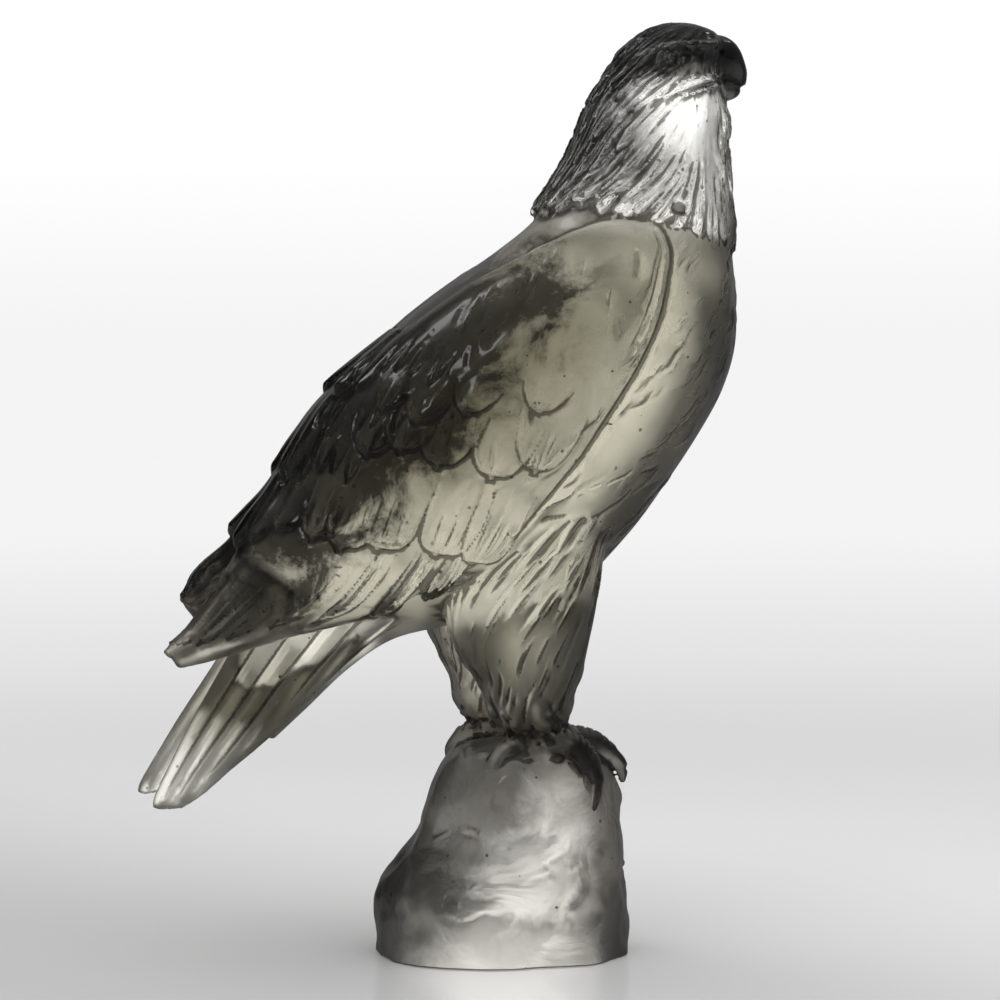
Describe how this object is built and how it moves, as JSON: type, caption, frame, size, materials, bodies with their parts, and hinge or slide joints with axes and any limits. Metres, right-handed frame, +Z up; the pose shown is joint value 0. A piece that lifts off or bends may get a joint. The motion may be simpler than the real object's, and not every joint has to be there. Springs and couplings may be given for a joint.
{
  "type": "crystal eagle figurine",
  "caption": "Cast smoky crystal figurine of an eagle perched upright on a rock, standing on the rock's flat underside.",
  "frame": {"origin": "middle of the rock's flat underside", "axes": "+Z up through the bird, +X the way the bird faces, +Y its left side"},
  "size_m": [0.1839, 0.0892, 0.2802],
  "materials": {
    "crystal": "smoky grey-olive cast crystal, semi-gloss, with fine bubbles sealed inside"
  },
  "bodies": {
    "root": {"crystal_eagle": "crystal"}
  },
  "joints": []
}
